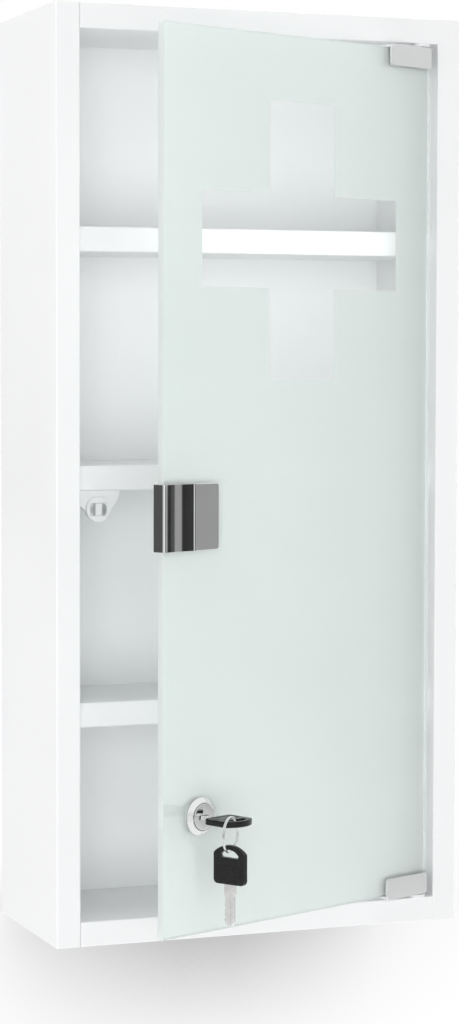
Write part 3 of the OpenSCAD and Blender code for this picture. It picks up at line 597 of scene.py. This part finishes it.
def housing_piece():
    """The threaded barrel and the stepped flange in front of the glass, hollow for the plug."""
    bm = bmesh.new()
    foot, neck = thread(bm, 0.45, -12.4, -2.9, 1.0)
    shoulder = [(BARREL_R, -2.4), (BARREL_R, 3.1), (11.6, 3.1)]
    flange = [(11.9, 3.2), (12.0, 3.45), (11.95, 3.7), (11.7, 4.0), (9.75, 5.95), (9.55, 6.15)]
    rim = [(9.25, 6.28), (8.95, 6.3), (8.7, 6.22), (8.5, 6.0), (8.35, 5.6), (8.25, 5.3)]
    bore = [(8.25, 4.45), (6.3, 4.45), (6.05, 4.3), (6.05, -12.3), (6.2, -12.5), (8.3, -12.5)]
    profile = shoulder + flange + rim + bore
    walls = [ring_of(bm, circle(0, 0, r, BARREL_SIDES), z) for r, z in profile]
    strips(bm, [neck] + walls + [foot])
    piece("lock_barrel", bm, CHROME, "door", LOCK, ["lock_housing"], 30)


def plug_piece():
    """The plug's face with the key slot, its round body and the square that carries the cam."""
    slot = box_outline(-4.1, -1.1, 4.1, 1.1, 0.25)
    slot_deep = 12.9
    face_rear = 4.5
    bm = plate(circle(0, 0, 8.2, 96), face_rear, 6.5, [slot], r=(0.1, 0.4), count=4)
    keyway = [(slot, slot_deep, "high", 0)]
    plate(circle(0, 0, 6.0, 72), -12.55, face_rear, r=(0.3, 0), pockets=keyway, bm=bm)
    plate(box_outline(-3, -3, 3, 3, 0.3), CAM_REAR, -12.5, r=0.1, bm=bm)
    piece("plug", bm, CHROME, "lock_turning_parts", LOCK, ["lock_plug"], 30)


def cam_piece():
    """A bar that reaches down from the plug, round at both ends, with a square hole for it."""
    end = math.degrees(math.atan2(-6.708, 6))
    outline = arc(0, 0, 9, end, 180 - end, 60) + arc(0, -35, 6, 180, 360, 24)
    hole = box_outline(-3.05, -3.05, 3.05, 3.05, 0.1, 2)
    piece("cam_bar", plate(outline, CAM_REAR, -12.7, [hole], r=0.35), STEEL, "lock_turning_parts", LOCK,
          ["lock_cam"], 30)


def nut_piece():
    """The hexagon nut behind the glass, with its corners rounded."""
    hexagon = softened(circle(0, 0, 12.7, 6), [1.5] * 6, 5)
    bore = circle(0, 0, BARREL_R + 0.05, 72)
    piece("barrel_nut", plate(hexagon, -6.3, -3.3, [bore], r=0.45, count=4), STEEL, "door",
          LOCK, ["lock_nut"], 30)


housing_piece()
plug_piece()
cam_piece()
nut_piece()

# ---------- keys and ring ----------


def head_outline():
    """Round lower corners, upright sides and a dome."""
    rise = math.degrees(math.atan2(19 - 8.275, 11.5))
    dome = arc(0, 8.275, 15.725, rise + 1.5, 178.5 - rise, 32)
    right = [(11.5, 18.2), (11.42, 18.75), (11.28, 19.05)]
    return (arc(8.5, 3, 3, -90, 0, 8) + right + dome + [(-x, y) for x, y in reversed(right)]
            + arc(-8.5, 3, 3, 180, 270, 8))


def eye_outline():
    """The hole for the ring: flat below, with round ends and a dome."""
    start = math.degrees(math.atan2(5.506, 7))
    return (arc(5.4, 17.9, 1.6, -90, -3, 6) + arc(0, 12.394, 8.906, start + 1, 179 - start, 20)
            + arc(-5.4, 17.9, 1.6, 183, 270, 6))


def key_pieces(name, body, at, nodes):
    """A key with its head above the origin and its blade below, along y. Its thickness is along z."""
    at = at @ turn(90, "X")
    head_half = 1.9
    inlay = 1.82
    inlay_foot = 1.55
    panel = softened([(-9, 2.5), (9, 2.5), (9, 12.5), (-9, 12.5)], [2.5, 2.5, 3.2, 2.5], 6)
    pockets = [(panel, 0.3, side, 0.14) for side in ("high", "low")]
    bm = plate(head_outline(), -head_half, head_half, [eye_outline()], r=0.55, count=4,
               pockets=pockets, groove=0.16)
    for low, high, r in ((inlay_foot, inlay, (0, 0.16)), (-inlay, -inlay_foot, (0.16, 0))):
        plate(moved_out(panel, -0.75), low, high, r=r, bm=bm)
    piece(name + "_grip", bm, BLACK, body, at, [nodes[0]], 30)

    back = -3.5
    edge = [(4, 0), (4, -6.3), (3.85, -6.7), (3.3, -7.1)]
    edge += [(3.3, -22.9), (1.2, -25.5), (-1.2, -25.5), (back, -22.9)]
    for y, cut in ((-20.2, 0.8), (-17.3, 0.25), (-14.6, 0.95), (-11.7, 0.5), (-9.3, 0.8)):
        edge += [(back, y - 1.1), (back + cut, y - 0.4), (back + cut, y + 0.4), (back, y + 1.1)]
    edge += [(back, -7.1), (-3.85, -6.7), (-4, -6.3), (-4, 0)]
    edge.reverse()
    flute = box_outline(0.8, -23.6, 1.8, -5, 0.3, 2)
    pockets = [(flute, 0.7, side, 0.06) for side in ("high", "low")]
    bm = plate(edge, -1.0, 1.0, r=0.16, count=2, pockets=pockets)
    plate(box_outline(-3.5, -0.2, 3.5, 9, 0.2, 2), -0.7, 0.7, r=0.1, bm=bm)
    piece(name + "_bit", bm, NICKEL, body, at, [nodes[1]], 25)


key_pieces("main", "key", KEY, ("key_head", "key_blade"))
key_pieces("spare", "spare_key", SPARE, ("spare_key_head", "spare_key_blade"))


def split_ring():
    """Two turns of flattened wire side by side, with the step between them beside their ends."""
    ring_r = 10.6
    half_wide = 0.62
    half_thick = 0.365
    half_step = 0.4
    last = 220
    sides = 12
    bm = bmesh.new()
    rows = []
    for k in range(last + 1):
        degrees = 14 + 692 * k / last
        step = min(1, max(0, (degrees - 346) / 28))
        z = half_step * (2 * step * step * (3 - 2 * step) - 1)
        a = math.radians(degrees - 40)
        shrink = 0.8 if k in (0, last) else 1
        row = []
        for i in range(sides):
            b = 2 * math.pi * i / sides
            r = ring_r + shrink * half_wide * math.copysign(abs(math.cos(b)) ** 0.7, math.cos(b))
            up = shrink * half_thick * math.copysign(abs(math.sin(b)) ** 0.7, math.sin(b))
            row.append(bm.verts.new((r * math.cos(a), r * math.sin(a), z + up)))
        rows.append(row)
    strips(bm, rows)
    bm.faces.new(rows[0])
    bm.faces.new(rows[-1])
    piece("split_ring", bm, CHROME, "ring", RING, ["key_ring"], 50)


split_ring()

# ---------- screws ----------

CATCH_X = -108.5


def cross_screw(bm, at):
    """A countersunk wood screw along -z with its head's face at z = 0 and a cross recess in it."""
    head = 2.75
    neck = 1.5
    height = 1.5
    length = 14.0
    pitch = 1.05
    sides = 40
    new = bmesh.new()
    tip = new.verts.new((0, 0, -length))
    z = -length + 2.2
    profile = [(0.25, -length + 0.5), (neck * 0.75, z)]
    while z < -height - 2.2:
        profile += [(neck * 0.72, z + 0.35), (neck - 0.03, z + 0.62), (neck - 0.03, z + 0.7)]
        z += pitch
    profile += [(neck * 0.85, -height - 1.0), (neck - 0.03, -height)]
    profile += [(head - 0.03, -0.22), (head, -0.12), (head - 0.14, 0)]
    rings = [ring_of(new, circle(0, 0, r, sides), level) for r, level in profile]
    for i in range(sides):
        new.faces.new((rings[0][i], rings[0][(i + 1) % sides], tip))
    strips(new, rings)
    arms = cross_outline(0, 0, 1.55, 0.42)
    walls = []
    for taper, level in ((1, 0), (0.9, -0.6), (0.35, -1.2)):
        walls.append(ring_of(new, [(x * taper, y * taper) for x, y in arms], level))
    strips(new, walls)
    cap(new, [walls[-1]])
    cap(new, [rings[-1], walls[0]])
    bmesh.ops.transform(new, matrix=at, verts=new.verts)
    add_mesh(bm, new)


def screw_pieces():
    """Four screws in the hanger plates' rear, two in the strike plate and two under a shelf."""
    hanger_x = 132
    strike_z = -457.456
    sets = {
        "hanger": [shift(x, 0, z) @ turn(-90, "X") for x in (-hanger_x, hanger_x) for z in (-21, 21)],
        "strike": [shift(-124, -106.8, strike_z + z) @ turn(90, "Y") for z in (-25, 25)],
        "catch": [shift(CATCH_X + x, -95.7, -250.5) @ turn(180, "X") for x in (-8, 8)],
    }
    for name, places in sets.items():
        bm = bmesh.new()
        for place in places:
            cross_screw(bm, place)
        piece(name + "_wood_screws", bm, STEEL, "cabinet", Matrix.Identity(4), [name + "_screws"],
              30)


screw_pieces()

# ---------- magnet catch ----------

CATCH = shift(CATCH_X, 0, -260) @ turn(90, "X")


def catch_pieces():
    """Two steel poles with round outer sides, and the thin cover round them that hides the magnet."""
    pole_r = 5.4
    pole_x = 2.2
    pole_half = 3.8
    half = math.degrees(math.asin(pole_half / pole_r))
    right = [(pole_x, -pole_half), *arc(0, 0, pole_r, -half, half, 16), (pole_x, pole_half)]
    left = [(-x, y) for x, y in reversed(right)]
    for name, outline in (("left", left), ("right", right)):
        piece("pole_" + name, plate(outline, 109.7, 115.3, r=(0.1, 0.3)), STEEL, "cabinet", CATCH,
              ["catch_pole_" + name])
    gaps = [moved_out(outline, 0.04) for outline in (left, right)]
    cover = plate(box_outline(-5.55, -3.95, 5.55, 3.95, 0.2), 114.72, 114.92, gaps, r=0.02, count=1)
    piece("magnet_cover", cover, NYLON, "cabinet", CATCH, [])


catch_pieces()

# ---------- pieces that keep the CAD shape, with their edges rounded ----------

for name, node, finish, body, width, slot in (
    ("clip_top", "hinge_clip_top", CHROME, "door", 0.6, "polished_chrome"),
    ("clip_bottom", "hinge_clip_bottom", CHROME, "door", 0.6, "polished_chrome"),
    ("catch_body", "catch_housing", NYLON, "cabinet", 0.35, "white_nylon"),
    ("hanger_left", "hanger_plate_left", STEEL, "cabinet", 0.25, "zinc_steel"),
    ("hanger_right", "hanger_plate_right", STEEL, "cabinet", 0.25, "zinc_steel"),
    ("strike", "strike_plate", STEEL, "cabinet", 0.2, "zinc_steel"),
    ("bush_top", "hinge_bush_top", NYLON, "cabinet", 0.25, "white_nylon"),
    ("bush_bottom", "hinge_bush_bottom", NYLON, "cabinet", 0.25, "white_nylon"),
    ("pin_top", "pivot_pin_top", STEEL, "door", 0.3, "zinc_steel"),
    ("pin_bottom", "pivot_pin_bottom", STEEL, "door", 0.3, "zinc_steel"),
    ("clamp_screws_top", "clip_screws_top", STEEL, "door", 0.15, "zinc_steel"),
    ("clamp_screws_bottom", "clip_screws_bottom", STEEL, "door", 0.15, "zinc_steel"),
    ("set_screws", "handle_screws", STEEL, "door", 0.12, "zinc_steel"),
    ("cam_bolt", "cam_screw", STEEL, "lock_turning_parts", 0.25, "zinc_steel"),
):
    refined(name, node, finish, body, width)

# ---------- stage and light ----------


def stage_plane(name, corners, material):
    mesh = bpy.data.meshes.new(name)
    mesh.from_pydata(corners, [], [(0, 1, 2, 3)])
    mesh.materials.append(material)
    o = bpy.data.objects.new(name, mesh)
    bpy.context.scene.collection.objects.link(o)


def stage_material(name, shaded=False):
    """White that shows only from its front, and only to the camera and through glass, so that it never
    hides the cabinet or its light. The shaded one has a painted soft shadow below the cabinet: its white
    glow is dimmed there, most strongly under the cabinet's middle, and the dimming fades out where the
    room is open."""
    m, t = new_material(name)
    path = t.node("LightPath")
    behind = t.node("NewGeometry").outputs["Backfacing"]
    seen = t.math("MAXIMUM", path.outputs["Is Camera Ray"], path.outputs["Is Transmission Ray"])
    seen = t.math("MULTIPLY", seen, t.math("SUBTRACT", 1.0, behind))
    white = t.node("Emission", {"Color": (1, 1, 1), "Strength": 1.0})
    if shaded:
        # Painted shadow: ambient occlusion and position ramps lower the emission's strength, so no lamp's
        # light is blocked.
        spot = t.node("SeparateXYZ", {0: t.node("TexCoord").outputs["Object"]}).outputs
        below = t.ramp(spot["Z"], -0.50, -0.56, 0.0, 1.0)
        room = t.node("AmbientOcclusion", {"Distance": 0.13}, samples=16).outputs["AO"]
        side = t.ramp(t.math("ABSOLUTE", t.math("SUBTRACT", spot["X"], 0.01)), 0.02, 0.16, 0.61, 0.24)
        painted_shadow = t.math("MULTIPLY", below, t.math("MULTIPLY", side, t.ramp(room, 0.5, 1.0, 1.0, 0.0)))
        t.put(white.inputs["Strength"], t.math("SUBTRACT", 1.0, painted_shadow))
    clear = t.node("BsdfTransparent", {"Color": (1, 1, 1)}).outputs[0]
    t.out(t.node("MixShader", {0: seen, 1: clear, 2: white.outputs[0]}).outputs[0])
    return m


# The stage, in metres.
ROOM_HALF = 6
ROOM_DEEP = 8
WALL_Y = 0.0012
WALL_HEAD = 4
FLOOR_Z = -1.6
wall_foot = [(-ROOM_HALF, WALL_Y, FLOOR_Z), (ROOM_HALF, WALL_Y, FLOOR_Z)]
wall_head = [(ROOM_HALF, WALL_Y, WALL_HEAD), (-ROOM_HALF, WALL_Y, WALL_HEAD)]
floor_front = [(-ROOM_HALF, -ROOM_DEEP, FLOOR_Z), (ROOM_HALF, -ROOM_DEEP, FLOOR_Z)]
stage_plane("stage_wall", wall_foot + wall_head, stage_material("stage_wall", True))
stage_plane("stage_floor", floor_front + wall_foot[::-1], stage_material("stage_floor"))


def soft_box(name, place, target, size, watts):
    data = bpy.data.lights.new(name, "AREA")
    data.shape = "RECTANGLE"
    data.size, data.size_y = size
    data.energy = watts
    o = bpy.data.objects.new(name, data)
    way = Vector(target) - Vector(place)
    o.matrix_world = Matrix.Translation(place) @ way.to_track_quat("-Z", "Y").to_matrix().to_4x4()
    o.visible_glossy = False
    bpy.context.scene.collection.objects.link(o)


soft_box("front_light", (-0.5, -2.8, -0.42), (0, -0.1, -0.28), (2.1, 2.1), 38.5)


# How bright the studio looks in a nearly level reflection, by azimuth in degrees from +X.
SCREENS = [
    (-180, 0.3), (-150, 0.55), (-120, 0.9), (-88, 0.95), (-62, 0.95), (-56, 0.05), (-31, 0.03),
    (-28, 0.36), (-15, 0.38), (-12, 0.07), (-5, 0.07), (-3, 0.02), (4, 0.02), (6, 0.5), (20, 0.75),
    (60, 0.6), (100, 0.4), (130, 0.25), (150, 0.1), (168, 0.07), (180, 0.3),
]
BAND_TILT = -3.3  # degrees above level of the middle of that band
SKY = 0.42


def make_world():
    """White for the camera and through the glass, and a sky for surfaces that is brighter straight to
    the left, right, rear, top and bottom. Reflections see a studio with black flags and pale
    screens in a band round the object, and pale above and below it."""
    world = bpy.data.worlds.new("world")
    bpy.context.scene.world = world
    world.use_nodes = True
    t = Tree(world.node_tree)
    path = t.node("LightPath")
    way = t.node("TexCoord").outputs["Generated"]
    parts = t.node("SeparateXYZ", {0: way}).outputs
    strength = SKY
    rear = t.math("MAXIMUM", parts["Y"], 0.0)
    for part, level in ((parts["X"], 5.3), (rear, 5.4), (parts["Z"], 4.8)):
        lobe = t.math("POWER", t.math("ABSOLUTE", part), 24.0)
        strength = t.math("ADD", t.math("MULTIPLY", lobe, level), strength)
    sky = t.node("Background", {"Color": (1, 1, 1), "Strength": strength}).outputs[0]
    white = t.node("Background", {"Color": (1, 1, 1), "Strength": 1.0}).outputs[0]
    seen = t.math("MAXIMUM", path.outputs["Is Camera Ray"], path.outputs["Is Transmission Ray"])
    lit = t.node("MixShader", {0: seen, 1: sky, 2: white}).outputs[0]
    azimuth = t.math("DIVIDE", t.math("ARCTAN2", parts["Y"], parts["X"]), math.pi / 180)
    screens = t.node("ValToRGB", {0: t.ramp(azimuth, -180, 180, 0, 1)})
    band = screens.color_ramp
    while len(band.elements) < len(SCREENS):
        band.elements.new(0.5)
    for element, (degrees, level) in zip(band.elements, SCREENS):
        element.position = (degrees + 180) / 360
        element.color = (level, level, level, 1)
    tilt = t.math("DIVIDE", t.math("ARCSINE", parts["Z"]), math.pi / 180)
    off = t.math("ABSOLUTE", t.math("ADD", tilt, -BAND_TILT))
    open_sky = t.ramp(off, 3.6, 8.5, 0, 1)
    height = t.math("ABSOLUTE", parts["Z"])
    pale = t.ramp(height, 0.08, 0.5, 0.78, 1.0)
    level = t.mix(open_sky, screens.outputs["Color"], pale)
    studio = t.node("Background", {"Color": level, "Strength": 1.0}).outputs[0]
    mirrored = t.math("SUBTRACT", path.outputs["Is Glossy Ray"], path.outputs["Is Transmission Ray"])
    mirrored = t.math("MAXIMUM", mirrored, 0.0)
    t.out(t.node("MixShader", {0: mirrored, 1: lit, 2: studio}).outputs[0], "OutputWorld")


make_world()

view = bpy.context.scene.view_settings
view.view_transform = "Standard"
